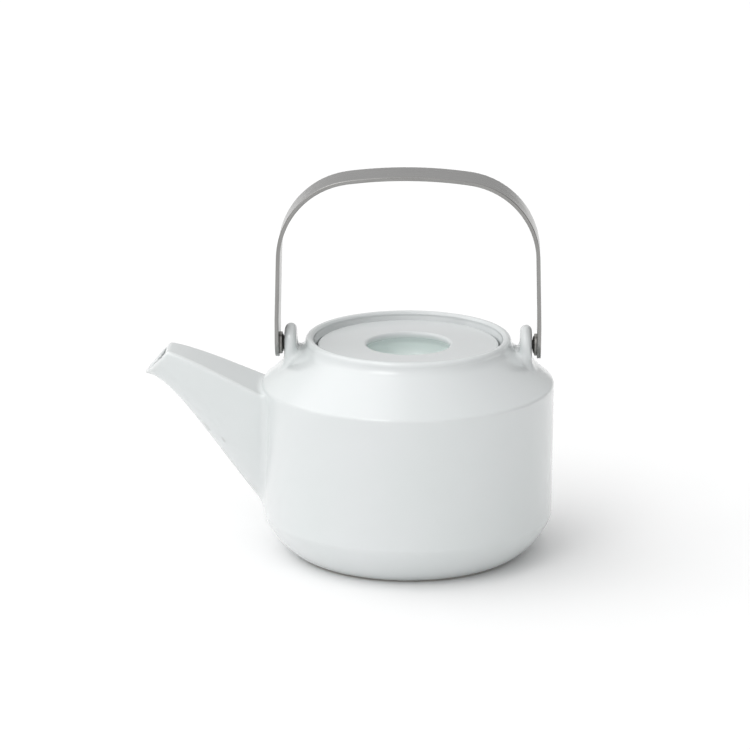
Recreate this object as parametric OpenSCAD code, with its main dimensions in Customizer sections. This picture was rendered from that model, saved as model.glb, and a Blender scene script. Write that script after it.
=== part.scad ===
// Porcelain teapot with a steel bail handle, an inset lid and a lift-out steel infuser.
// The frame: origin at the middle of the foot ring on the table, +Z up, the spout towards -X.
// The handle swings about a line along X through both lugs.

/* [Pot] */
// Largest radius of the pot, at the shoulder ridge
pot_r = 75; // [72:0.5:78]
// Height of the shoulder ridge above the table
ridge_z = 89.6; // [87:0.2:92]
// Radius of the side wall where the rounded bottom corner starts
side_low_r = 74.7; // [73:0.1:75]
// Height of the rounded bottom corner
corner_z = 21.4; // [16:0.2:26]
// Outer radius of the foot ring
foot_r = 56; // [52:0.5:58]
// Thickness of the pot wall
wall = 4.2; // [3.4:0.1:5]
// Radius where the sloping shoulder ends and the neck begins
neck_r = 55; // [54:0.2:56]
// Height where the sloping shoulder ends
neck_z = 107; // [106.4:0.1:107.6]
// Radius of the round bead along the top of the rim
bead_r = 2.1; // [1.8:0.1:2.3]
// Radius of the circle through the middle of the rim bead
rim_r = 50.7; // [50.2:0.1:51]
// Height of the middle of the rim bead
rim_z = 111.3; // [111:0.1:112]

/* [Lid] */
// Radius of the lid
lid_r = 46.4; // [45.8:0.1:47]
// Height of the flat top of the lid
lid_z = 109.6; // [109.2:0.1:110]
// Thickness of the lid's top plate
lid_plate = 3.6; // [3:0.1:4]
// Radius of the round opening of the finger well
well_r = 21.3; // [19:0.1:23]
// Depth of the finger well below the top of the lid
well_depth = 15; // [12:0.5:18]

/* [Spout] */
// Half width of the spout's flat top at the mouth
spout_tip_w = 10; // [9:0.5:11]
// Half width of the spout's flat top where it meets the pot
spout_root_w = 21.5; // [19:0.5:23]
// Thickness of the spout wall
spout_wall = 3; // [2.5:0.1:3.4]

/* [Lugs and pivots] */
// Distance of each lug's middle plane from the pot axis
lug_x = 60.3; // [60:0.1:60.6]
// Thickness of each lug
lug_t = 6.2; // [5.6:0.1:6.6]
// Radius of each lug about the pivot line
lug_r = 10.2; // [9.6:0.1:10.8]
// Height of the pivot line
pivot_z = 109.3; // [109:0.1:110]
// Radius of each stud's pin
pin_r = 2.5; // [2.2:0.1:2.8]
// Gap between the pin and its bore in the lug
pin_gap = 0.06; // [0.03:0.01:0.1]

/* [Handle] */
// Width of the steel strap
strap_w = 24; // [22:1:24]
// Thickness of the steel strap
strap_t = 2; // [1.6:0.1:2.4]
// Half the distance between the strap's outer faces at the pivots
leg_x = 68; // [67.8:0.1:68.6]
// Height of the outer face of the strap at the top of the arch
arch_z = 199.3; // [190:0.1:205]
// Outer radius of the gentle curve along the top of the arch
crown_r = 230; // [200:5:260]
// Outer radius of the two bends between the top and the legs
bend_r = 41.5; // [38:0.5:44]
// Lean of each leg towards the middle, in degrees
leg_lean = 1.5; // [1:0.1:2]
// Distance from the pivot line down to the rounded end of the strap
tail_drop = 6.9; // [6.4:0.1:7.4]

/* [Infuser] */
// Outer radius of the perforated wall
basket_r = 38; // [37:0.1:38.4]
// Height of the underside of the perforated base
basket_z = 41; // [30:0.5:45]
// Thickness of the perforated sheet
sheet = 0.4; // [0.3:0.1:0.5]
// Thickness of the rim flange and its collar
flange_t = 0.8; // [0.6:0.1:1]
// Outer radius of the rim flange
flange_r = 46.6; // [46:0.1:47]

/* [Hidden] */
$fn = 96;

porcelain = "#e6eae8";
steel = "#a9a9a6";
bright_steel = "#c4c6c6";

// Places that the pieces share.
seat_z = lid_z - lid_plate - flange_t;      // top of the ledge that carries the infuser
flange_top_z = seat_z + flange_t;           // the lid rests here
lug_face_x = lug_x + lug_t / 2;             // outer face of a lug
strap_in_x = leg_x - strap_t;               // inner face of the strap at the pivot
over = 1;                                   // how far a cut runs past the face it opens

// Shape of the rounded bottom corner: a superellipse, rounder than a chamfer, flatter than an arc.
corner_power = 1.42;
foot_recess = 1.6;
foot_ring_w = 6;
floor_t = 4;
ridge_round = 1.4;                          // radius that rounds the shoulder ridge
neck_cove = 1.4;                            // height of the cove between the shoulder and the rim
mouth_in_r = rim_r - bead_r;
mouth_low_r = lid_r + 1;                    // the mouth closes in on the lid below the rim
flare_z = lid_z - 1;                        // where the mouth starts to widen towards the rim
ledge_r = 43.6;
ledge_t = 3.2;
ledge_rise = 2;                             // how much the ledge's underside slopes

// A quarter of a superellipse from (r0, z0) outwards and up to (r1, z1).
function corner(r0, z0, r1, z1, steps) =
    [for (i = [0 : steps])
        let (a = 90 * i / steps)
        [r0 + (r1 - r0) * pow(sin(a), 2 / corner_power),
         z0 + (z1 - z0) * (1 - pow(cos(a), 2 / corner_power))]];

// Points of an arc about (x, z), from angle a0 to angle a1.
function arc(x, z, r, a0, a1, steps) =
    [for (i = [0 : steps])
        let (a = a0 + (a1 - a0) * i / steps)
        [x + r * cos(a), z + r * sin(a)]];

// A point of the cubic Bezier curve with control points p.
function bezier(p, t) =
    pow(1 - t, 3) * p[0] + 3 * t * pow(1 - t, 2) * p[1]
    + 3 * t * t * (1 - t) * p[2] + pow(t, 3) * p[3];

/* ---- Pot ---- */

shoulder_slope = atan2(neck_z - ridge_z, pot_r - neck_r);

// The outside of the pot, turned about Z, closed through the axis.
module pot_outside() {
    rotate_extrude()
        polygon(concat(
            [[0, 0]],
            corner(foot_r, 0, side_low_r, corner_z, 14),
            arc(pot_r - ridge_round, ridge_z - ridge_round, ridge_round, 0, 90 - shoulder_slope, 4),
            [[neck_r, neck_z], [rim_r + bead_r + neck_cove / 3, neck_z + neck_cove]],
            arc(rim_r, rim_z, bead_r, 0, 180, 14),
            [[mouth_low_r, flare_z], [mouth_low_r, seat_z], [0, seat_z]]));
}

// The hollow of the pot, with the ledge that carries the infuser left standing.
// Under the shoulder the wall keeps its thickness, so the hollow's slope is parallel to the outside.
module pot_hollow() {
    level_wall = wall / sin(shoulder_slope);
    under_z = seat_z - ledge_t - ledge_rise;
    rotate_extrude()
        polygon(concat(
            [[0, foot_recess + floor_t]],
            corner(foot_r - wall, foot_recess + floor_t, side_low_r - wall, corner_z, 10),
            [[pot_r - wall, ridge_z - (level_wall - wall) * tan(shoulder_slope)],
             [neck_r - level_wall + (neck_z - under_z) / tan(shoulder_slope), under_z],
             [ledge_r, seat_z - ledge_t],
             [ledge_r, seat_z],
             [mouth_low_r, seat_z],
             [mouth_low_r, flare_z],
             [mouth_in_r, rim_z],
             [mouth_in_r, rim_z + bead_r * 2],
             [0, rim_z + bead_r * 2]]));
}

/* ---- Spout ---- */

// Side view of the spout, as curves in X and Z from the mouth (t = 0) into the pot (t = 1).
spout_top = [[-123, 106.6], [-111, 103.8], [-92, 94.5], [-68, 83.5]];
spout_keel = [[-136, 92.6], [-122, 92.6], [-103, 58], [-69, 15.5]];
spout_rings = 12;
ring_side = 9;                              // points along each side of a ring
edge_round = 0.06;                          // size of the top edges, as a share of the ring
side_power = 1.1;                           // how soon the sides widen above the keel
keel_power = 0.9;                           // how round the keel is
keel_inset = 1.2;                           // how much thicker the wall is at the keel
bore_from = -0.08;                          // the bore runs past the mouth
bore_to = 1.12;                             // and past the pot's wall

// One ring of the spout, drawn in by an inset: a flat top with tight round edges,
// and sides that draw in to a round keel.
function spout_ring(t, inset) =
    let (
        top = bezier(spout_top, t),
        keel = bezier(spout_keel, t),
        height = norm(top - keel),
        up = (top - keel) / height,
        w = spout_tip_w + (spout_root_w - spout_tip_w) * t - inset,
        h = height - inset * (1 + keel_inset),
        base = keel + up * inset * keel_inset,
        side = [for (i = [0 : ring_side])
            let (a = 90 * i / ring_side)
            [w * pow(sin(a), side_power), (1 - edge_round) * h * (1 - pow(cos(a), keel_power))]],
        half = concat(side, [[w * (1 - edge_round), h]]),
        n = len(half),
        all = concat(half, [for (i = [n - 1 : -1 : 1]) [-half[i][0], half[i][1]]]))
    [for (q = all) [base[0] + up[0] * q[1], q[0], base[1] + up[1] * q[1]]];

// A closed solid through the rings from t0 to t1.
module spout_loft(t0, t1, inset) {
    rings = [for (k = [0 : spout_rings]) spout_ring(t0 + (t1 - t0) * k / spout_rings, inset)];
    n = len(rings[0]);
    last = spout_rings * n;
    points = [for (r = rings) each r];
    sides = [for (k = [0 : spout_rings - 1], i = [0 : n - 1])
        let (j = (i + 1) % n)
        [k * n + i, (k + 1) * n + i, (k + 1) * n + j, k * n + j]];
    polyhedron(points, concat(
        [[for (i = [0 : n - 1]) i]],
        sides,
        [[for (i = [n - 1 : -1 : 0]) last + i]]));
}

/* ---- Lugs ---- */

// A lug on the +X side: a disc about the pivot line with a full round edge, on a rounded foot.
module lug() {
    half = lug_t / 2;
    foot_z = pivot_z - lug_r;
    translate([lug_x, 0, pivot_z])
        rotate([0, 90, 0])
            rotate_extrude() {
                translate([0, -half])
                    square([lug_r - half, lug_t]);
                translate([lug_r - half, 0])
                    circle(r = half);
            }
    for (side = [-1, 1])
        translate([lug_x, side * (lug_r - half), foot_z])
            cylinder(r = half, h = lug_r);
    translate([lug_x - half, -(lug_r - half), foot_z])
        cube([lug_t, 2 * (lug_r - half), lug_r]);
}

module lug_bore() {
    translate([lug_x - lug_t, 0, pivot_z])
        rotate([0, 90, 0])
            cylinder(r = pin_r + pin_gap, h = 2 * lug_t);
}

module pot_body() {
    color(porcelain)
        difference() {
            union() {
                pot_outside();
                lug();
                mirror([1, 0, 0])
                    lug();
                spout_loft(0, 1, 0);
            }
            pot_hollow();
            spout_loft(bore_from, bore_to, spout_wall);
            lug_bore();
            mirror([1, 0, 0])
                lug_bore();
            translate([0, 0, -over])
                cylinder(r = foot_r - foot_ring_w, h = foot_recess + over);
        }
}

/* ---- Lid ---- */

lip_r = lid_plate / 2;
lip_under = 2.4;                            // height of the slope under the well's lip
well_swell = 3.6;                           // how much wider the well is under its lip
well_wall = 3.4;
well_bowl = 5;                              // radius of the well's bottom corner
skirt_gap = 0.6;
skirt_out_r = basket_r - sheet - skirt_gap;
skirt_t = 3.2;
skirt_z = flange_top_z - 7;
lid_top_edge = 1;
lid_low_edge = 0.7;

// A flat disc with a blind finger well that widens under its lip, and a locating skirt below.
module lid() {
    well_floor = lid_z - well_depth;
    well_in = well_r + well_swell;
    well_out = well_in + well_wall;
    color(porcelain)
        rotate_extrude()
            polygon(concat(
                [[0, well_floor - well_wall]],
                arc(well_out - well_bowl, well_floor - well_wall + well_bowl, well_bowl, -90, 0, 6),
                [[well_out, flange_top_z],
                 [skirt_out_r - skirt_t, flange_top_z],
                 [skirt_out_r - skirt_t, skirt_z],
                 [skirt_out_r, skirt_z],
                 [skirt_out_r, flange_top_z]],
                arc(lid_r - lid_low_edge, flange_top_z + lid_low_edge, lid_low_edge, -90, 0, 3),
                arc(lid_r - lid_top_edge, lid_z - lid_top_edge, lid_top_edge, 0, 90, 4),
                arc(well_r + lip_r, lid_z - lip_r, lip_r, 90, 270, 10),
                [[well_in, flange_top_z - lip_under]],
                arc(well_in - well_bowl, well_floor + well_bowl, well_bowl, 0, -90, 6),
                [[0, well_floor]]));
}

/* ---- Infuser ---- */

collar_h = 6;
wall_top_z = seat_z - 0.6;
turn_up = 5;                                // height of the base's turned-up edge
hoop_t = 0.5;
hoop_lip = 2.2;                             // how far the hoop reaches in under the base

// A tube about Z between two heights.
module ring(r_in, r_out, z0, z1) {
    translate([0, 0, z0])
        difference() {
            cylinder(r = r_out, h = z1 - z0);
            translate([0, 0, -over])
                cylinder(r = r_in, h = z1 - z0 + 2 * over);
        }
}

// The spun flange that hangs the infuser on the pot's ledge, with its collar.
module infuser_rim() {
    color(bright_steel)
        union() {
            ring(basket_r, flange_r, seat_z, flange_top_z);
            ring(basket_r, basket_r + flange_t, seat_z - collar_h, seat_z);
        }
}

module infuser_wall() {
    color(steel)
        ring(basket_r - sheet, basket_r, basket_z, wall_top_z);
}

// The base sheet, with an edge turned up inside the wall.
module infuser_base() {
    color(steel)
        union() {
            translate([0, 0, basket_z])
                cylinder(r = basket_r - sheet, h = sheet);
            ring(basket_r - 2 * sheet, basket_r - sheet, basket_z + sheet, basket_z + turn_up);
        }
}

// The band pressed over the bottom edge, which clamps the wall and the base together.
module infuser_hoop() {
    color(bright_steel)
        union() {
            ring(basket_r, basket_r + hoop_t, basket_z - hoop_t, basket_z + turn_up);
            ring(basket_r - hoop_lip, basket_r, basket_z - hoop_t, basket_z);
        }
}

/* ---- Handle ---- */

straight_h = strap_w / 2 + 2;               // upright stretch of a leg above the pivot
leg_foot_z = pivot_z + straight_h;
crown_mid_z = arch_z - crown_r;
bend_steps = 12;
crown_steps = 7;
join_gap = 1;                               // the crown's points start this far past the bend's last

// The +X bend's arc touches the leaning leg and lies inside the crown's arc, so both joins are smooth.
function leg_line_x(z) = leg_x - (z - leg_foot_z) * tan(leg_lean);
function bend_x(z) = leg_line_x(z) - bend_r / cos(leg_lean);
function crown_miss(z) =
    sqrt(pow(bend_x(z), 2) + pow(z - crown_mid_z, 2)) - (crown_r - bend_r);
function find_bend(lo, hi, steps) =
    steps == 0 ? (lo + hi) / 2
    : crown_miss((lo + hi) / 2) > 0 ? find_bend(lo, (lo + hi) / 2, steps - 1)
    : find_bend((lo + hi) / 2, hi, steps - 1);
bend_z = find_bend(leg_foot_z, arch_z, 30);
bend_mid_x = bend_x(bend_z);
crown_end = atan2(bend_z - crown_mid_z, bend_mid_x);

// Half of the strap's outline, drawn in by an inset, from the foot of the leg to the top.
function strap_half(inset, foot) = concat(
    [[leg_x - inset, foot], [leg_x - inset, leg_foot_z]],
    arc(bend_mid_x, bend_z, bend_r - inset, leg_lean, crown_end, bend_steps),
    [for (p = arc(0, crown_mid_z, crown_r - inset, crown_end, 90, crown_steps))
        if (p[0] < bend_mid_x - join_gap) p]);

module strap_outline() {
    foot = pivot_z - tail_drop;
    outer = strap_half(0, foot);
    inner = strap_half(strap_t, foot);
    polygon(concat(
        outer,
        [for (i = [len(outer) - 2 : -1 : 0]) [-outer[i][0], outer[i][1]]],
        [for (i = [0 : len(inner) - 1]) [-inner[i][0], inner[i][1]]],
        [for (i = [len(inner) - 2 : -1 : 0]) inner[i]]));
}

// Everything that the rounded ends of the strap leave standing, seen along X.
module strap_side() {
    end_z = pivot_z - tail_drop + strap_w / 2;
    rotate([90, 0, 90])
        linear_extrude(height = 4 * leg_x, center = true) {
            translate([0, end_z])
                circle(r = strap_w / 2);
            translate([-strap_w / 2, end_z])
                square([strap_w, arch_z - end_z + over]);
        }
}

sink_r = 3;
sink_h = 0.8;
rivet_r = 2;

// The riveted tail of a stud, on the +X side, and the countersunk hole that it fills.
module rivet_tail() {
    translate([strap_in_x, 0, pivot_z])
        rotate([0, 90, 0]) {
            cylinder(r = rivet_r, h = strap_t - sink_h);
            translate([0, 0, strap_t - sink_h])
                cylinder(r1 = rivet_r, r2 = sink_r, h = sink_h);
        }
}

module handle_strap() {
    color(steel)
        difference() {
            intersection() {
                rotate([90, 0, 0])
                    linear_extrude(height = strap_w, center = true)
                        strap_outline();
                strap_side();
            }
            rivet_tail();
            mirror([1, 0, 0])
                rivet_tail();
        }
}

/* ---- Pivot studs ---- */

disc_r = 5.7;
disc_t = 1.5;
disc_edge = 0.5;
hub_r = 3.7;
cone_r = 4.5;                               // radius of the cone where it meets the disc
face_gap = 0.3;
pin_chamfer = 0.6;
pin_end_x = lug_x - lug_t / 2 + 0.4;

// A turned stud on the +X side: pin, cone, disc and riveted tail.
module stud() {
    disc_x = strap_in_x - disc_t;
    cone_x = lug_face_x + face_gap;
    color(bright_steel)
        union() {
            translate([0, 0, pivot_z])
                rotate([0, 90, 0])
                    rotate_extrude()
                        polygon([
                            [0, pin_end_x],
                            [pin_r - pin_chamfer, pin_end_x],
                            [pin_r, pin_end_x + pin_chamfer],
                            [pin_r, cone_x],
                            [hub_r, cone_x],
                            [cone_r, disc_x],
                            [disc_r - disc_edge, disc_x],
                            [disc_r, disc_x + disc_edge],
                            [disc_r, strap_in_x],
                            [0, strap_in_x]]);
            rivet_tail();
        }
}

module stud_right() {
    stud();
}

module stud_left() {
    mirror([1, 0, 0])
        stud();
}

pot_body();
lid();
infuser_rim();
infuser_wall();
infuser_base();
infuser_hoop();
handle_strap();
stud_left();
stud_right();
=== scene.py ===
# Looks for the porcelain teapot with a steel bail handle and a lift-out infuser.
# Shapes are worked out in millimetres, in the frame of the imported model, and written in metres.
import math

import bmesh
import bpy
import numpy as np
from mathutils import Matrix, Vector
from mathutils.geometry import delaunay_2d_cdt


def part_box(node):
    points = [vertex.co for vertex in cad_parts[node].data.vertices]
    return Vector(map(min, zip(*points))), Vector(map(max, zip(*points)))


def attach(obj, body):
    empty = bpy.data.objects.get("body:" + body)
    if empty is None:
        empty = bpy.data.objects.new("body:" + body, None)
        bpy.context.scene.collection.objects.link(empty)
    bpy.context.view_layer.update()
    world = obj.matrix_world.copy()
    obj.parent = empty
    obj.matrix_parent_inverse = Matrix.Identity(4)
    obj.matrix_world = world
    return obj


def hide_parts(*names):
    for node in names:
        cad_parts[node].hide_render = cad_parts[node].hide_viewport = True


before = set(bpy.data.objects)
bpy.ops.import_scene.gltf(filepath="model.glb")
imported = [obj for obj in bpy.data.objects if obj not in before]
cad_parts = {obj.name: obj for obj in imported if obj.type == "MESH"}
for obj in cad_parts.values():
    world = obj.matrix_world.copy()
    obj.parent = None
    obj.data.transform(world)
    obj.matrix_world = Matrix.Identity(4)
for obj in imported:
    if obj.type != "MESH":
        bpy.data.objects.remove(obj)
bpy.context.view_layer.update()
MM = 0.001


def low(node):
    """Lowest corner of a CAD node, in millimetres."""
    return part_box(node)[0] / MM


def high(node):
    """Highest corner of a CAD node, in millimetres."""
    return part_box(node)[1] / MM


# ---- Sizes ----

# Lid.
LID_R = high("lid").x
LID_Z = high("lid").z
LID_PLATE, WELL_R, WELL_DEPTH, WELL_SWELL, WELL_WALL = 3.6, 21.3, 15.0, 3.6, 3.4
SKIRT_R, SKIRT_T, SKIRT_H = 37.0, 3.2, 7.0

# Pot: the outside runs from the foot ring round the bottom corner, up the side and in along the shoulder.
# The mouth stands a small gap off the lid, and widens from just below the lid's top up to the rim.
POT_R, RIDGE_Z = 75.0, 89.6
SIDE_LOW_R, CORNER_Z, CORNER_POWER = 74.7, 21.4, 1.42
FOOT_R, FOOT_RING_W, FOOT_RECESS, FLOOR_T = 56.0, 6.0, 1.6, 4.0
NECK_R, NECK_Z = 55.0, 107.0
RIM_R, RIM_Z, BEAD_R = 50.7, 111.3, 2.1
WALL = 4.2
LEDGE_R, LEDGE_T, LEDGE_RISE, LEDGE_RUN = 43.6, 3.2, 2.0, 13
COLLAR_H, LID_GAP, FLARE_DROP = 6.0, 1, 1
SEAT_Z = low("infuser_rim").z + COLLAR_H
MOUTH_IN_R, MOUTH_LOW_R = RIM_R - BEAD_R, LID_R + LID_GAP
FLARE_Z = LID_Z - FLARE_DROP

# Spout: two curves in X and Z, from the mouth into the pot.
SPOUT_TOP = ((-123, 106.6), (-111, 103.8), (-92, 94.5), (-68, 83.5))
SPOUT_KEEL = ((-136, 92.6), (-122, 92.6), (-103, 58), (-69, 15.5))
SPOUT_TIP_W, SPOUT_ROOT_W, SPOUT_WALL, SPOUT_EDGE = 10.0, 21.5, 3.0, 0.06
SIDE_POWER, KEEL_POWER, KEEL_INSET = 1.1, 0.9, 1.2
SPOUT_ROOT_X, SPOUT_BORE_X = -66, -62
SPOUT_NEAR_X, SPOUT_NEAR_Y = -50, 32

# Lugs and pivots.
PIVOT_Z = (low("stud_right").z + high("stud_right").z) / 2
LUG_X, LUG_T, LUG_R = 60.3, 6.2, 10.2
LUG_FOOT_Z = RIDGE_Z + 6
BORE_R = 2.56

# Widths over which the pot's surfaces round into each other.
RIDGE_ROUND, NECK_TOP_ROUND, NECK_ROUND, BEAD_ROUND = 0.9, 0.5, 2.6, 0.3
INNER_ROUND, THROAT_ROUND, SEAT_ROUND, SHELL_ROUND = 3.0, 1.2, 0.8, 0.9
SPOUT_TOP_ROUND, SPOUT_END_ROUND, SPOUT_ROOT_ROUND, SPOUT_MOUTH_ROUND, SPOUT_BORE_ROUND = 2.0, 1, 3.5, 1.3, 3
LUG_ROUND, BORE_ROUND, RECESS_ROUND, FOOT_ROUND = 4.5, 0.5, 1, 0.8
CLEAR = 9  # a distance that no nearby surface reaches

# Handle.
LEG_X = high("handle_strap").x
ARCH_Z = high("handle_strap").z
STRAP_FOOT_Z = low("handle_strap").z
STRAP_W = 2 * high("handle_strap").y
STRAP_T = 2.0
CROWN_R, BEND_R, LEG_LEAN = 230.0, 41.5, math.radians(1.5)

# Infuser.
BASKET_R = high("infuser_wall").x
BASKET_Z = low("infuser_wall").z
WALL_TOP_Z = high("infuser_wall").z
FLANGE_R = high("infuser_rim").x
FLANGE_Z = high("infuser_rim").z
SHEET, HOLE_R, HOLE_PITCH = 0.4, 0.65, 2.9

# Steps round a full turn.
LID_TURNS, STEEL_TURNS, STUD_TURNS = 224, 192, 64


# ---- Pot body: a field that is negative inside the porcelain, and its surface ----

def smooth_max(a, b, k):
    """The larger of two fields, with the edge between them rounded over a width k."""
    h = np.clip(0.5 + 0.5 * (a - b) / k, 0, 1)
    return b + (a - b) * h + k * h * (1 - h)


def smooth_min(a, b, k):
    return -smooth_max(-a, -b, k)


def corner_field(r, z, r0, r1, z0, z1):
    """Distance from a wall of radius r1 whose bottom corner is a superellipse that ends at radius r0."""
    p = CORNER_POWER
    u = np.maximum(r - r0, 0) / (r1 - r0)
    v = np.maximum(z1 - z, 0) / (z1 - z0)
    root = np.maximum(u ** p + v ** p, 1e-9) ** (1 / p)
    slope = root ** (1 - p) * np.hypot(u ** (p - 1) / (r1 - r0), v ** (p - 1) / (z1 - z0))
    return (root - 1) / np.maximum(slope, 1e-3)


def side_radius(z):
    """The side's radius. It narrows a little towards the bottom."""
    return SIDE_LOW_R + (POT_R - SIDE_LOW_R) * np.clip((z - CORNER_Z) / (RIDGE_Z - CORNER_Z), 0, 1)


def shoulder_field(r, z):
    """Distance above the sloping shoulder."""
    run, rise = POT_R - NECK_R, NECK_Z - RIDGE_Z
    return ((r - POT_R) * rise + (z - RIDGE_Z) * run) / math.hypot(run, rise)


def turned_outside(r, z):
    body = corner_field(r, z, FOOT_R, side_radius(z), 0, CORNER_Z)
    body = smooth_max(body, shoulder_field(r, z), RIDGE_ROUND)
    neck = smooth_max(r - RIM_R - BEAD_R, z - RIM_Z, NECK_TOP_ROUND)
    bead = np.hypot(r - RIM_R, z - RIM_Z) - BEAD_R
    return smooth_min(smooth_min(body, neck, NECK_ROUND), bead, BEAD_ROUND)


def turned_hollow(r, z):
    floor_z = FOOT_RECESS + FLOOR_T
    inside = corner_field(r, z, FOOT_R - WALL, side_radius(z) - WALL, floor_z, CORNER_Z)
    inside = smooth_max(inside, shoulder_field(r, z) + WALL, INNER_ROUND)
    under = z - (SEAT_Z - LEDGE_T) + (r - LEDGE_R) * LEDGE_RISE / LEDGE_RUN
    inside = smooth_max(inside, under, INNER_ROUND)
    throat = np.maximum(r - LEDGE_R, RIDGE_Z - z)
    widen = np.clip((z - FLARE_Z) / (RIM_Z - FLARE_Z), 0, 1)
    mouth = np.maximum(r - MOUTH_LOW_R - (MOUTH_IN_R - MOUTH_LOW_R) * widen, SEAT_Z - z)
    return smooth_min(smooth_min(inside, throat, THROAT_ROUND), mouth, SEAT_ROUND)


def bezier(points, t):
    s = 1 - t
    a, b, c, d = points
    return [s ** 3 * a[i] + 3 * s * s * t * b[i] + 3 * s * t * t * c[i] + t ** 3 * d[i] for i in (0, 1)]


def spout_place(x, z):
    """Where a point lies along the spout (0 at the mouth, 1 in the pot), its height over the keel,
    and the spout's height there. Each cross-section is the straight line from the keel to the top."""
    near, far = np.full(x.shape, -0.45), np.full(x.shape, 1.3)
    for _ in range(22):
        t = (near + far) / 2
        kx, kz = bezier(SPOUT_KEEL, t)
        tx, tz = bezier(SPOUT_TOP, t)
        past = (tx - kx) * (z - kz) - (tz - kz) * (x - kx) < 0
        near, far = np.where(past, t, near), np.where(past, far, t)
    height = np.hypot(tx - kx, tz - kz)
    return t, ((x - kx) * (tx - kx) + (z - kz) * (tz - kz)) / height, height


def spout_field(x, y, z, place, inset):
    """A flat top and two sides that draw in to a round keel, all drawn in by the inset."""
    t, rise, height = place
    w = SPOUT_TIP_W + (SPOUT_ROOT_W - SPOUT_TIP_W) * t - inset
    h = height - inset * (1 + KEEL_INSET)
    across = np.abs(y) / w
    fall = np.maximum(1 - (rise - inset * KEEL_INSET) / (h * (1 - SPOUT_EDGE)), 0)
    pa, pf = 2 / SIDE_POWER, 2 / KEEL_POWER
    root = np.sqrt(np.maximum(across ** pa + fall ** pf, 1e-9))
    slope = np.hypot(across ** (pa - 1) / (SIDE_POWER * w), fall ** (pf - 1) / (KEEL_POWER * h)) / root
    side = (root - 1) / np.maximum(slope, 1e-3)
    return smooth_max(side, rise - (height - inset), SPOUT_TOP_ROUND)


def mouth_plane(x, z):
    """Distance beyond the slanting plane of the spout's mouth."""
    (kx, kz), (tx, tz) = SPOUT_KEEL[0], SPOUT_TOP[0]
    length = math.hypot(tx - kx, tz - kz)
    return ((z - kz) * (tx - kx) - (x - kx) * (tz - kz)) / length


def lug_field(x, y, z):
    """A lug: a slab with a full round edge, round over the pivot and straight below it."""
    half = LUG_T / 2
    reach = np.where(z > PIVOT_Z, np.hypot(y, z - PIVOT_Z), np.abs(y))
    return np.hypot(np.maximum(reach - LUG_R + half, 0), np.abs(x) - LUG_X) - half


def pot_field(x, y, z):
    """Negative inside the porcelain: the shell with its lugs, spout and bores, less the foot's recess."""
    r = np.hypot(x, y)
    outside = turned_outside(r, z)
    hollow = turned_hollow(r, z)
    lug = np.maximum(lug_field(x, y, z), LUG_FOOT_Z - z)
    outside = smooth_min(outside, lug, LUG_ROUND)
    near = (x < SPOUT_NEAR_X) & (np.abs(y) < SPOUT_NEAR_Y)
    if near.any():
        sx, sy, sz = x[near], y[near], z[near]
        place = spout_place(sx, sz)
        solid = smooth_max(spout_field(sx, sy, sz, place, 0), sx - SPOUT_ROOT_X, SPOUT_END_ROUND)
        bore = smooth_max(spout_field(sx, sy, sz, place, SPOUT_WALL), sx - SPOUT_BORE_X, SPOUT_END_ROUND)
        whole = smooth_min(outside[near], solid, SPOUT_ROOT_ROUND)
        outside[near] = smooth_max(whole, mouth_plane(sx, sz), SPOUT_MOUTH_ROUND)
        hollow[near] = smooth_min(hollow[near], bore, SPOUT_BORE_ROUND)
    shell = smooth_max(outside, -hollow, SHELL_ROUND)
    bore = np.hypot(y, z - PIVOT_Z) - BORE_R
    bore = np.where(np.abs(np.abs(x) - LUG_X) < LUG_T, bore, CLEAR)
    shell = smooth_max(shell, -bore, BORE_ROUND)
    recess = smooth_max(r - FOOT_R + FOOT_RING_W, z - FOOT_RECESS, RECESS_ROUND)
    return smooth_max(shell, -recess, FOOT_ROUND)


def field_slope(field, p, step=0.02):
    """The field's gradient at each point."""
    out = np.empty_like(p)
    for axis in range(3):
        ahead, behind = p.copy(), p.copy()
        ahead[:, axis] += step
        behind[:, axis] -= step
        out[:, axis] = (field(*ahead.T) - field(*behind.T)) / (2 * step)
    return out


def spaced(*stops):
    """Grid lines from (start, step) pairs. The last pair's start is the end."""
    lines = []
    for (start, step), (end, _) in zip(stops, stops[1:]):
        count = max(1, round((end - start) / step))
        lines += [start + (end - start) * i / count for i in range(count)]
    return np.array(lines + [stops[-1][0]])


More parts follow.
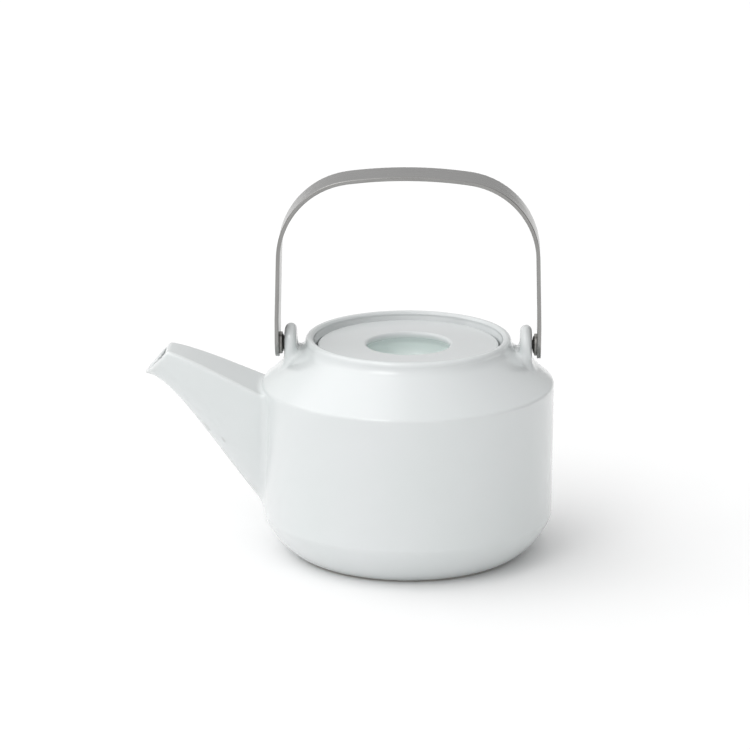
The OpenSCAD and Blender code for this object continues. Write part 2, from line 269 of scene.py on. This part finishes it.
def surface_net(field, rs, turns, zs):
    """Vertices and quads where the field changes sign, on a grid of radii, turns and heights.
    The turns go round a full circle."""
    r, a, z = np.meshgrid(rs, turns, zs, indexing="ij")
    grid = np.stack([r * np.cos(a), r * np.sin(a), z], -1)
    value = field(grid[..., 0].ravel(), grid[..., 1].ravel(), grid[..., 2].ravel()).reshape(r.shape)
    nr, na, nz = r.shape
    total = np.zeros((nr - 1, na, nz - 1, 3))
    count = np.zeros((nr - 1, na, nz - 1))
    crossings = []
    for axis in range(3):
        size = nr - 1 if axis == 0 else nr, na, nz - 1 if axis == 2 else nz
        if axis == 1:
            value2, grid2 = np.roll(value, -1, 1), np.roll(grid, -1, 1)
        else:
            step = [slice(None)] * 3
            step[axis] = slice(1, None)
            value2, grid2 = value[tuple(step)], grid[tuple(step)]
        value1, grid1 = value[: size[0], :, : size[2]], grid[: size[0], :, : size[2]]
        value2, grid2 = value2[: size[0], :, : size[2]], grid2[: size[0], :, : size[2]]
        i, j, k = np.nonzero((value1 < 0) != (value2 < 0))
        v1, v2 = value1[i, j, k], value2[i, j, k]
        share = (v1 / (v1 - v2))[:, None]
        point = grid1[i, j, k] * (1 - share) + grid2[i, j, k] * share
        crossings.append((i, j, k, v1 < 0))
        moves = [(0, 1) if axis != 0 else (0,), (0, 1) if axis != 1 else (0,), (0, 1) if axis != 2 else (0,)]
        for di in moves[0]:
            for dj in moves[1]:
                for dk in moves[2]:
                    ci, cj, ck = i - di, (j - dj) % na, k - dk
                    ok = (ci >= 0) & (ci < nr - 1) & (ck >= 0) & (ck < nz - 1)
                    np.add.at(total, (ci[ok], cj[ok], ck[ok]), point[ok])
                    np.add.at(count, (ci[ok], cj[ok], ck[ok]), 1)
    used = count > 0
    number = np.full(count.shape, -1)
    number[used] = np.arange(used.sum())
    verts = total[used] / count[used][:, None]
    quads = []
    around = ((0, 0), (-1, 0), (-1, -1), (0, -1))
    for axis, (i, j, k, rising) in enumerate(crossings):
        first, second = [(1, 2), (2, 0), (0, 1)][axis]
        corners = []
        for a_move, b_move in around:
            at = [i.copy(), j.copy(), k.copy()]
            at[first] = at[first] + a_move
            at[second] = at[second] + b_move
            ok = (at[0] >= 0) & (at[0] < nr - 1) & (at[2] >= 0) & (at[2] < nz - 1)
            corners.append(np.where(ok, number[at[0] % (nr - 1), at[1] % na, at[2] % (nz - 1)], -1))
        quad = np.stack(corners, 1)
        quad[~rising] = quad[~rising][:, ::-1]
        quads.append(quad[(quad >= 0).all(1)])
    return verts, np.concatenate(quads)


def pot_mesh():
    """The pot's surface, with every vertex moved onto it and its normals taken from the field."""
    rs = spaced((0, 4), (40, 1.0), (58, 0.95), (78, 1.6), (138, 0))
    turns = np.radians(spaced((-180, 0.55), (-170, 0.8), (-160, 1.8), (-14, 0.9), (14, 1.8),
                              (160, 0.8), (170, 0.55), (180, 0))[:-1])
    zs = spaced((-1.2, 0.6), (7.2, 1.2), (26, 2.4), (84, 0.7), (92, 1.1), (103, 0.55), (115, 1), (121, 0))
    verts, quads = surface_net(pot_field, rs, turns, zs)
    passes, least_slope, longest = 5, 0.05, 0.8
    for _ in range(passes):
        slope = field_slope(pot_field, verts)
        move = pot_field(*verts.T)[:, None] * slope / np.maximum((slope ** 2).sum(1), least_slope)[:, None]
        verts -= np.clip(move, -longest, longest)
    mesh = bpy.data.meshes.new("pot_shell")
    mesh.from_pydata(verts * MM, [], quads.tolist())
    bm = bmesh.new()
    bm.from_mesh(mesh)
    bmesh.ops.holes_fill(bm, edges=[e for e in bm.edges if e.is_boundary], sides=0)
    bmesh.ops.recalc_face_normals(bm, faces=bm.faces)
    bm.to_mesh(mesh)
    bm.free()
    mesh.shade_smooth()
    co = np.empty(len(mesh.vertices) * 3)
    mesh.vertices.foreach_get("co", co)
    slope = field_slope(pot_field, co.reshape(-1, 3) / MM)
    slope /= np.linalg.norm(slope, axis=1)[:, None]
    mesh.normals_split_custom_set_from_vertices(slope.tolist())
    return mesh


# ---- Other shapes ----

def arc(x, z, r, a0, a1, steps):
    """Points of an arc about (x, z), with angles in degrees."""
    angles = [math.radians(a0 + (a1 - a0) * i / steps) for i in range(steps + 1)]
    return [(x + r * math.cos(a), z + r * math.sin(a)) for a in angles]


def new_piece(name, mesh, body, nodes, material):
    piece = bpy.data.objects.new(name, mesh)
    bpy.context.scene.collection.objects.link(piece)
    mesh.materials.clear()
    mesh.materials.append(material)
    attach(piece, body)
    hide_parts(*nodes)
    return piece


def clean_shading(piece):
    """Flat faces stay flat and rounded edges stay round."""
    weighted = piece.modifiers.new("weighted", "WEIGHTED_NORMAL")
    weighted.mode = "FACE_AREA_WITH_ANGLE"
    weighted.keep_sharp = True


def lathe(name, profile, steps, along_x=False):
    """A closed outline of (radius, height) points turned about Z, or about X with the height along X.
    Points on the axis are shared by all turns."""
    bm = bmesh.new()
    rings = []
    for r, h in profile:
        if r < 1e-6:
            rings.append([bm.verts.new((0, 0, h * MM))] * steps)
            continue
        turns = [2 * math.pi * i / steps for i in range(steps)]
        rings.append([bm.verts.new((r * math.cos(a) * MM, r * math.sin(a) * MM, h * MM)) for a in turns])
    pairs = list(zip(rings, rings[1:]))
    if rings[0][0] != rings[-1][0] and profile[0][0] > 1e-6:
        pairs.append((rings[-1], rings[0]))
    for one, two in pairs:
        for i in range(steps):
            j = (i + 1) % steps
            corners = [one[i], one[j], two[j], two[i]]
            corners = [v for n, v in enumerate(corners) if v not in corners[:n]]
            if len(corners) > 2:
                bm.faces.new(corners)
    bmesh.ops.recalc_face_normals(bm, faces=bm.faces)
    if along_x:
        turn = Matrix(((0, 0, 1), (0, 1, 0), (-1, 0, 0)))
        bmesh.ops.transform(bm, matrix=turn.to_4x4(), verts=bm.verts)
    mesh = bpy.data.meshes.new(name)
    bm.to_mesh(mesh)
    bm.free()
    mesh.shade_smooth()
    return mesh


def lid_mesh():
    """The lid: a flat plate with a rounded lip round the finger well, and a skirt under it."""
    lip = LID_PLATE / 2
    under = LID_Z - LID_PLATE
    floor = LID_Z - WELL_DEPTH
    well = WELL_R + WELL_SWELL
    outer, bowl = well + WELL_WALL, 6.0
    fillet, skirt_fillet, edge_low, edge_high = 1, 0.8, 0.9, 1.2
    throat_r, throat_drop, lip_end = 3, 3.4, 262
    return lathe("lid_disc", [
        (0, floor - WELL_WALL),
        *arc(outer - bowl, floor - WELL_WALL + bowl, bowl, -90, 0, 10),
        *arc(outer + fillet, under - fillet, fillet, 180, 90, 4),
        *arc(SKIRT_R - SKIRT_T - fillet, under - fillet, fillet, 90, 0, 4),
        *arc(SKIRT_R - SKIRT_T / 2, under - SKIRT_H + SKIRT_T / 2, SKIRT_T / 2, 180, 360, 10),
        *arc(SKIRT_R + skirt_fillet, under - skirt_fillet, skirt_fillet, 180, 90, 4),
        *arc(LID_R - edge_low, under + edge_low, edge_low, -90, 0, 5),
        *arc(LID_R - edge_high, LID_Z - edge_high, edge_high, 0, 90, 8),
        *arc(WELL_R + lip, LID_Z - lip, lip, 90, lip_end, 16),
        *arc(well - throat_r, under - throat_drop, throat_r, 60, 0, 5),
        *arc(well - bowl, floor + bowl, bowl, 0, -90, 12),
        (0, floor),
    ], LID_TURNS)


def handle_path():
    """The strap's outer line in X and Z, from the left foot over the top to the right foot."""
    straight_z = PIVOT_Z + STRAP_W / 2 + 2
    crown_z = ARCH_Z - CROWN_R
    lo, hi = straight_z, ARCH_Z
    for _ in range(40):
        bend_z = (lo + hi) / 2
        bend_x = LEG_X - (bend_z - straight_z) * math.tan(LEG_LEAN) - BEND_R / math.cos(LEG_LEAN)
        if math.hypot(bend_x, bend_z - crown_z) > CROWN_R - BEND_R:
            hi = bend_z
        else:
            lo = bend_z
    crown_end = math.degrees(math.atan2(bend_z - crown_z, bend_x))
    right = arc(bend_x, bend_z, BEND_R, math.degrees(LEG_LEAN), crown_end, 24)
    right += arc(0, crown_z, CROWN_R, crown_end, 90, 14)[1:]
    leg = [(LEG_X, STRAP_FOOT_Z), (LEG_X, straight_z)]
    return leg + right + [(-x, z) for x, z in reversed(right[:-1])] + [(-x, z) for x, z in reversed(leg)]


def evenly(path, spacing, passes=12):
    """Points along a path of straight stretches, at one spacing, then smoothed."""
    p = np.array(path)
    s = np.concatenate([[0], np.cumsum(np.linalg.norm(np.diff(p, axis=0), axis=1))])
    count = round(s[-1] / spacing)
    at = np.linspace(0, s[-1], count + 1)
    q = np.stack([np.interp(at, s, p[:, 0]), np.interp(at, s, p[:, 1])], 1)
    for _ in range(passes):
        q[1:-1] = q[1:-1] * 0.5 + (q[:-2] + q[2:]) * 0.25
    return q, at


def strap_mesh():
    """A flat strap with softened edges, swept along the handle's path, with full round ends."""
    path, at = evenly(handle_path(), 0.5)
    length, half = at[-1], STRAP_W / 2
    edge_r, body_step = 0.45, 2.5
    slope = np.gradient(path, at, axis=0)
    slope /= np.linalg.norm(slope, axis=1)[:, None]
    tip = [half * (1 - math.cos(math.radians(a))) for a in range(4, 90, 6)]
    body = list(np.linspace(half, length - half, round((length - 2 * half) / body_step)))
    stations = tip + body + [length - s for s in reversed(tip)]
    bm = bmesh.new()
    uv = bm.loops.layers.uv.new("along")
    rings = []
    for s in stations:
        x, z = np.interp(s, at, path[:, 0]), np.interp(s, at, path[:, 1])
        dx, dz = np.interp(s, at, slope[:, 0]), np.interp(s, at, slope[:, 1])
        inward = np.array([-dz, dx]) / math.hypot(dx, dz)
        if inward[0] * x > 0 and abs(x) > 1:
            inward = -inward
        edge_s = min(s, length - s)
        wide = half if edge_s >= half else math.sqrt(half ** 2 - (half - edge_s) ** 2)
        edge = min(edge_r, wide * 0.5)
        outline = [(wide - edge + math.cos(a) * edge, edge - math.sin(a) * edge)
                   for a in (math.radians(d) for d in (90, 60, 30, 0))]
        outline += [(w, STRAP_T - d) for w, d in reversed(outline)]
        outline += [(-w, d) for w, d in reversed(outline)]
        rings.append([(bm.verts.new(((x + inward[0] * d) * MM, w * MM, (z + inward[1] * d) * MM)), s, w, d)
                      for w, d in outline])
    for one, two in zip(rings, rings[1:]):
        for i in range(len(one)):
            j = (i + 1) % len(one)
            corners = (one[i], one[j], two[j], two[i])
            face = bm.faces.new([c[0] for c in corners])
            for loop, c in zip(face.loops, corners):
                loop[uv].uv = (c[1] * MM, (c[2] + c[3]) * MM)
    for ring in (rings[0], rings[-1]):
        bm.faces.new([c[0] for c in ring])
    bmesh.ops.recalc_face_normals(bm, faces=bm.faces)
    mesh = bpy.data.meshes.new("strap")
    bm.to_mesh(mesh)
    bm.free()
    mesh.shade_smooth()
    return mesh


def stud_mesh(name, side):
    """A turned stud on one side: pin, cone, disc and the tail riveted flush with the strap."""
    strap_in = LEG_X - STRAP_T
    disc_r, disc_t, hub_r, cone_r, pin_r = 5.7, 1.5, 3.7, 4.8, 2.5
    shank_r, tail_r, tip, end_inset, lug_gap = 2.0, 3.0, 0.6, 0.4, 0.3
    face = LUG_X + LUG_T / 2 + lug_gap
    disc_x = strap_in - disc_t
    profile = [
        (0, LUG_X - LUG_T / 2 + end_inset),
        *arc(pin_r - tip, LUG_X - LUG_T / 2 + 1.0, tip, -90, 0, 3),
        (pin_r, face),
        *arc(hub_r - 0.2, face + 0.2, 0.2, -90, -10, 4),
        *arc(cone_r, disc_x - 0.3, 0.3, 190, 90, 3),
        *arc(disc_r - 0.5, disc_x + 0.5, 0.5, -90, 0, 5),
        *arc(disc_r - 0.2, strap_in - 0.2, 0.2, 0, 90, 2),
        (shank_r, strap_in),
        (shank_r, LEG_X - 0.8),
        (tail_r, LEG_X - 0.02),
        *arc(2.7, LEG_X - 0.18, 0.22, 0, 90, 3),
        (0, LEG_X + 0.1),
    ]
    mesh = lathe(name, [(r, h * side) for r, h in profile], STUD_TURNS, along_x=True)
    mesh.transform(Matrix.Translation((0, 0, PIVOT_Z * MM)))
    return mesh


def hole_outline(u, v, sides=8):
    """The corners of one round hole."""
    return [(u + HOLE_R * math.cos(2 * math.pi * i / sides), v + HOLE_R * math.sin(2 * math.pi * i / sides))
            for i in range(sides)]


def sheet_with_holes(outline, holes):
    """A flat sheet, as points in the plane and triangles, with round holes through it."""
    points, loops = list(outline), [list(range(len(outline)))]
    for u, v in holes:
        ring = hole_outline(u, v)
        loops.append(list(range(len(points), len(points) + len(ring))))
        points += ring
    inside_loops, tolerance = 1, 1e-6
    found = delaunay_2d_cdt([Vector(p) for p in points], [], loops, inside_loops, tolerance)
    faces = [tuple(f) for f, inside in zip(found[2], found[5]) if list(inside) == [0]]
    return [tuple(p) for p in found[0]], faces


def wall_mesh():
    """The infuser's wall: a perforated strip, rolled into a cylinder."""
    around = 2 * math.pi * BASKET_R
    per_row = round(around / HOLE_PITCH)
    step = around / per_row
    plain_low, plain_high = 8.5, 10
    first, last = BASKET_Z + plain_low, WALL_TOP_Z - plain_high
    rows = round((last - first) / (HOLE_PITCH * math.sin(math.pi / 3)))
    holes = [((i + 0.5 + (j % 2) * 0.5 - 0.25) * step, first + (last - first) * j / rows)
             for j in range(rows + 1) for i in range(per_row)]
    edge = [(i * step, BASKET_Z) for i in range(per_row)] + [(around, BASKET_Z), (around, WALL_TOP_Z)]
    edge += [(i * step, WALL_TOP_Z) for i in range(per_row - 1, -1, -1)]
    points, faces = sheet_with_holes(edge, holes)
    mesh = bpy.data.meshes.new("infuser_wall_sheet")
    rolled = [(BASKET_R * math.cos(u / BASKET_R) * MM, BASKET_R * math.sin(u / BASKET_R) * MM, v * MM)
              for u, v in points]
    mesh.from_pydata(rolled, [], faces)
    return finish_sheet(mesh)


def base_mesh():
    """The infuser's base: a perforated disc whose edge turns up inside the wall."""
    edge_gap, bend_r, margin, upstand, edge_n = 1.4, 1.0, 3, 5, 160
    flat_r = BASKET_R - SHEET - edge_gap
    holes = []
    rows = int(flat_r / HOLE_PITCH) + 2
    for j in range(-rows, rows + 1):
        for i in range(-rows, rows + 1):
            u, v = (i + 0.5 * (j % 2)) * HOLE_PITCH, j * HOLE_PITCH * math.sin(math.pi / 3)
            if math.hypot(u, v) < flat_r - margin:
                holes.append((u, v))
    turns = [2 * math.pi * i / edge_n for i in range(edge_n)]
    points, faces = sheet_with_holes([(flat_r * math.cos(a), flat_r * math.sin(a)) for a in turns], holes)
    verts = [(u, v, BASKET_Z) for u, v in points]
    bend = [(flat_r + bend_r * math.sin(math.radians(a)), BASKET_Z + bend_r * (1 - math.cos(math.radians(a))))
            for a in (22, 45, 67, 90)] + [(flat_r + bend_r, BASKET_Z + upstand)]
    rim = [min(range(len(points)), key=lambda n: (points[n][0] - flat_r * math.cos(a)) ** 2
               + (points[n][1] - flat_r * math.sin(a)) ** 2) for a in turns]
    for r, z in bend:
        start = len(verts)
        verts += [(r * math.cos(a), r * math.sin(a), z) for a in turns]
        ring = list(range(start, start + edge_n))
        for i in range(edge_n):
            j = (i + 1) % edge_n
            faces.append((rim[i], rim[j], ring[j], ring[i]))
        rim = ring
    mesh = bpy.data.meshes.new("infuser_base_sheet")
    mesh.from_pydata([(x * MM, y * MM, z * MM) for x, y, z in verts], [], faces)
    return finish_sheet(mesh)


def finish_sheet(mesh):
    """Joins the sheet's seam and turns its faces one way."""
    bm = bmesh.new()
    bm.from_mesh(mesh)
    bmesh.ops.remove_doubles(bm, verts=bm.verts, dist=0.02 * MM)
    bmesh.ops.recalc_face_normals(bm, faces=bm.faces)
    bm.to_mesh(mesh)
    bm.free()
    return mesh


def thicken(piece, offset):
    """Gives a sheet the thickness of the metal."""
    solid = piece.modifiers.new("thickness", "SOLIDIFY")
    solid.thickness = SHEET * MM
    solid.offset = offset


def rim_mesh():
    """The flange with a rounded outer edge, and the collar under it."""
    t, bottom = FLANGE_Z - SEAT_Z, low("infuser_rim").z
    bend, under_bend = 1.2, 0.6
    return lathe("infuser_flange", [
        (BASKET_R, bottom),
        *arc(BASKET_R + t / 2, bottom + t / 2, t / 2, 180, 360, 6),
        *arc(BASKET_R + t + under_bend, SEAT_Z - under_bend, under_bend, 180, 90, 4),
        *arc(FLANGE_R - t / 2, SEAT_Z + t / 2, t / 2, -90, 90, 8),
        *arc(BASKET_R + bend, FLANGE_Z - bend, bend, 90, 180, 6),
    ], STEEL_TURNS)


def hoop_mesh():
    """The band over the infuser's bottom edge."""
    lo, hi = low("infuser_hoop").z, high("infuser_hoop").z
    out = high("infuser_hoop").x
    t = out - BASKET_R
    turn_in, corner = 2.2, 0.8
    return lathe("infuser_band", [
        *arc(BASKET_R - turn_in + t / 2, lo + t / 2, t / 2, 270, 90, 4),
        (BASKET_R, lo + t),
        *arc(BASKET_R + t / 2, hi - t / 2, t / 2, 180, 0, 4),
        *arc(out - corner, lo + corner, corner, 0, -90, 5),
    ], STEEL_TURNS)


# ---- Materials ----

class Nodes:
    """A material's node tree, with short ways to add and join nodes."""

    def __init__(self, name):
        self.material = bpy.data.materials.new(name)
        self.material.use_nodes = True
        self.tree = self.material.node_tree
        self.shader = self.tree.nodes["Principled BSDF"]

    def add(self, kind, inputs=None, **settings):
        node = self.tree.nodes.new(kind)
        for key, value in settings.items():
            setattr(node, key, value)
        for key, value in (inputs or {}).items():
            if isinstance(value, bpy.types.NodeSocket):
                self.tree.links.new(value, node.inputs[key])
            else:
                node.inputs[key].default_value = value
        return node

    def link(self, source, key):
        self.tree.links.new(source, self.shader.inputs[key])

    def set(self, **values):
        for key, value in values.items():
            self.shader.inputs[key.replace("_", " ")].default_value = value

    def place(self):
        return self.add("ShaderNodeTexCoord").outputs["Object"]

    def noise(self, scale, detail=3, place=None, stretch=None):
        place = place or self.place()
        if stretch:
            place = self.add("ShaderNodeMapping", {"Vector": place, "Scale": stretch}).outputs["Vector"]
        inputs = {"Vector": place, "Scale": scale, "Detail": detail}
        return self.add("ShaderNodeTexNoise", inputs).outputs["Fac"]

    def ramp(self, value, low, high, start=0.0, end=1.0):
        """Maps start..end of a value to low..high."""
        return self.add("ShaderNodeMapRange", {"Value": value, "From Min": start, "From Max": end,
                                               "To Min": low, "To Max": high}).outputs["Result"]

    def mix(self, share, one, two):
        node = self.add("ShaderNodeMix", data_type="RGBA")
        for key, value in (("Factor", share), ("A", one), ("B", two)):
            socket = [s for s in node.inputs if s.name == key and s.enabled][0]
            if isinstance(value, bpy.types.NodeSocket):
                self.tree.links.new(value, socket)
            else:
                socket.default_value = value
        return [s for s in node.outputs if s.enabled][0]

    def bump(self, *layers):
        """Stacks (height, strength, distance in mm) layers and joins them to the shader."""
        normal = None
        for height, strength, distance in layers:
            inputs = {"Height": height, "Strength": strength, "Distance": distance * MM}
            if normal is not None:
                inputs["Normal"] = normal
            normal = self.add("ShaderNodeBump", inputs).outputs["Normal"]
        self.link(normal, "Normal")


# Heights in metres: where the bare foot ends, and where the lid's well takes its lighter, greener colour. The
# lighter colour is painted light that lifts the well's shade, and the green is the tint of glaze pooled
# there.
BARE_FOOT = 0.0004, 0.0009
WELL_PAINTED_LIGHT_Z = (LID_Z - 7) * MM, (LID_Z - 2) * MM


def porcelain(name, foot=False, well=False):
    """White porcelain under a clear, faintly green glaze that thins along the edges, pools in patches and
    greens the lid's well. The well is also painted lighter, as painted light against its shade.
    """
    m = Nodes(name)
    body, pooled, thin = (0.67, 0.692, 0.697, 1), (0.63, 0.672, 0.664, 1), (0.72, 0.738, 0.736, 1)
    cloud = m.ramp(m.noise(14, 4), 0, 0.55, 0.35, 0.7)
    colour = m.mix(cloud, body, pooled)
    edge = m.add("ShaderNodeNewGeometry").outputs["Pointiness"]
    colour = m.mix(m.ramp(edge, 0, 0.8, 0.51, 0.56), colour, thin)
    specks = m.ramp(m.noise(950, 1), 0, 0.25, 0.74, 0.8)
    colour = m.mix(specks, colour, (0.62, 0.6, 0.55, 1))
    roughness = m.ramp(m.noise(60, 3), 0.16, 0.27)
    if foot:
        height = m.add("ShaderNodeSeparateXYZ", {"Vector": m.place()}).outputs["Z"]
        bare = m.ramp(height, 1, 0, *BARE_FOOT)
        colour = m.mix(bare, colour, (0.66, 0.62, 0.55, 1))
        roughness = m.add("ShaderNodeMath", {0: roughness, 1: m.ramp(bare, 0, 0.6)},
                          operation="ADD").outputs["Value"]
    # Painted light: the well is coloured lighter towards its bottom to lift its shade, and greener for the
    # glaze pooled there; it is also made rougher.
    if well:
        height = m.add("ShaderNodeSeparateXYZ", {"Vector": m.place()}).outputs["Z"]
        deep_well_painted_light = m.ramp(height, 1, 0, *WELL_PAINTED_LIGHT_Z)
        roughness = m.add("ShaderNodeMath", {0: roughness, 1: m.ramp(deep_well_painted_light, 0, 0.2)},
                          operation="ADD").outputs["Value"]
        colour = m.mix(deep_well_painted_light, colour, (0.78, 0.85, 0.83, 1))
    m.link(colour, "Base Color")
    m.link(roughness, "Roughness")
    m.set(IOR=1.55, Coat_Weight=0.5, Coat_Roughness=0.1)
    m.bump((m.noise(30, 2), 0.16, 0.5), (m.noise(220, 2), 0.1, 0.05))
    return m.material


def brushed_steel(name, tint, rough, coords=None, stretch=(1, 1, 1), grain=1.0):
    """Stainless steel with fine brush lines, a few longer scratches and soft smears."""
    m = Nodes(name)
    place = m.add("ShaderNodeUVMap", uv_map=coords).outputs["UV"] if coords else m.place()
    lines = m.noise(900, 4, place, stretch)
    scratches = m.ramp(m.noise(260, 2, place, stretch), 0, 1, 0.62, 0.72)
    smears = m.noise(35, 3)
    bright = tuple(min(1, c * 1.07) for c in tint) + (1,)
    dark = tuple(c * 0.93 for c in tint) + (1,)
    m.link(m.mix(m.ramp(lines, 0, 1, 0.3, 0.7), dark, bright), "Base Color")
    rough_map = m.ramp(smears, rough * 0.85, rough * 1.2, 0.3, 0.7)
    rough_map = m.add("ShaderNodeMath", {0: rough_map, 1: m.ramp(scratches, 0, 0.1)},
                      operation="ADD").outputs["Value"]
    m.link(rough_map, "Roughness")
    m.set(Metallic=1.0)
    m.bump((lines, 0.12 * grain, 0.02), (scratches, 0.1 * grain, 0.01))
    return m.material


# ---- Pieces ----

lid_glaze = porcelain("porcelain_lid", well=True)
pot_glaze = porcelain("porcelain_pot", foot=True)
strap_steel = brushed_steel("strap_steel", (0.31, 0.307, 0.3), 0.24, "along", (0.06, 1, 1), 0.5)
stud_steel = brushed_steel("turned_steel", (0.32, 0.315, 0.3), 0.3, None, (3, 0.4, 0.4))
basket_steel = brushed_steel("basket_steel", (0.55, 0.55, 0.54), 0.26, None, (1, 1, 0.08))
band_steel = brushed_steel("band_steel", (0.6, 0.6, 0.59), 0.2, None, (0.3, 0.3, 2))

new_piece("pot_shell", pot_mesh(), "pot", ["pot_body"], pot_glaze)
lid = new_piece("lid_disc", lid_mesh(), "lid", ["lid"], lid_glaze)
strap = new_piece("handle_band", strap_mesh(), "handle", ["handle_strap"], strap_steel)
clean_shading(lid)
clean_shading(strap)
for side, where in ((-1, "left"), (1, "right")):
    stud = new_piece(f"pivot_stud_{where}", stud_mesh(f"pivot_stud_{where}", side), "handle",
                     [f"stud_{where}"], stud_steel)
    clean_shading(stud)
flange = new_piece("infuser_flange", rim_mesh(), "infuser", ["infuser_rim"], band_steel)
band = new_piece("infuser_band", hoop_mesh(), "infuser", ["infuser_hoop"], band_steel)
wall = new_piece("infuser_wall_sheet", wall_mesh(), "infuser", ["infuser_wall"],
                 basket_steel)
base = new_piece("infuser_base_sheet", base_mesh(), "infuser", ["infuser_base"],
                 basket_steel)
clean_shading(flange)
clean_shading(band)
thicken(wall, -1)
thicken(base, -1)


# ---- Camera, floor and world ----

def add_camera():
    """At 1.9 m, 15.6 degrees up, turned a little to the right of square-on, with a long lens."""
    distance, lift, turn = 1.9, math.radians(15.6), math.radians(1.29)
    pan, tilt, roll = math.radians(-0.514), math.radians(-0.22), math.radians(0.176)
    data = bpy.data.cameras.new("camera")
    data.sensor_width = 36
    data.lens = 177.4
    data.clip_start, data.clip_end = 0.05, 60
    camera = bpy.data.objects.new("camera", data)
    bpy.context.scene.collection.objects.link(camera)
    spin = Matrix.Rotation(turn, 3, "Z")
    ahead = Vector((0, math.cos(lift), -math.sin(lift)))
    right = Vector((1, 0, 0))
    up = right.cross(ahead)
    target = Vector((0, 0, 0.1))
    place = target - ahead * distance
    aim = ahead * math.cos(pan) + right * math.sin(pan)
    right = right * math.cos(pan) - ahead * math.sin(pan)
    aim, up = aim * math.cos(tilt) + up * math.sin(tilt), up * math.cos(tilt) - aim * math.sin(tilt)
    right, up = right * math.cos(roll) + up * math.sin(roll), up * math.cos(roll) - right * math.sin(roll)
    axes = [spin @ v for v in (right, up, -aim)]
    camera.matrix_world = Matrix.Translation(spin @ place) @ Matrix(axes).transposed().to_4x4()
    bpy.context.scene.camera = camera


def add_floor():
    """A wide sheet of matt white paper."""
    mesh = bpy.data.meshes.new("floor")
    bm = bmesh.new()
    bmesh.ops.create_circle(bm, cap_ends=True, radius=14, segments=96)
    bm.to_mesh(mesh)
    bm.free()
    m = Nodes("floor_paper")
    m.link(m.mix(m.noise(3, 2), (0.9, 0.9, 0.9, 1), (0.92, 0.92, 0.92, 1)), "Base Color")
    m.set(Roughness=0.9)
    mesh.materials.append(m.material)
    floor = bpy.data.objects.new("floor", mesh)
    bpy.context.scene.collection.objects.link(floor)


def add_world():
    """A plain bright room: brighter on the left and at the front, with a wide soft patch on the upper
    left and a small one at the front. Each part is a direction, the cosines it fades between and its
    levels there."""
    world = bpy.data.worlds.new("studio")
    world.use_nodes = True
    nodes, links = world.node_tree.nodes, world.node_tree.links
    where = nodes.new("ShaderNodeTexCoord").outputs["Generated"]
    level = None
    for direction, start, end, far, near in (((-1, -1, 0.3), -1, 1, 0.1, 0.92),
                                             ((-0.55, 0, 0.83), 0.78, 0.97, 0, 0.95),
                                             ((0, 0, 1), 0.2, 1, 0, 0.34),
                                             ((0, 1, 0.2), 0.3, 0.9, 0, 0.44),
                                             ((-0.35, -0.6, 0.72), 0.972, 0.988, 0, 3)):
        facing = nodes.new("ShaderNodeVectorMath")
        facing.operation = "DOT_PRODUCT"
        facing.inputs[1].default_value = Vector(direction).normalized()
        links.new(where, facing.inputs[0])
        patch = nodes.new("ShaderNodeMapRange")
        patch.interpolation_type = "SMOOTHSTEP"
        for socket, value in (("From Min", start), ("From Max", end), ("To Min", far), ("To Max", near)):
            patch.inputs[socket].default_value = value
        links.new(facing.outputs["Value"], patch.inputs["Value"])
        total = nodes.new("ShaderNodeMath")
        links.new(patch.outputs["Result"], total.inputs[0])
        if level:
            links.new(level, total.inputs[1])
        else:
            total.inputs[1].default_value = 0
        level = total.outputs["Value"]
    links.new(level, nodes["Background"].inputs["Strength"])
    nodes["Background"].inputs["Color"].default_value = (1, 1, 1, 1)
    bpy.context.scene.world = world
    bpy.context.scene.view_settings.view_transform = "Standard"


add_camera()
add_floor()
add_world()
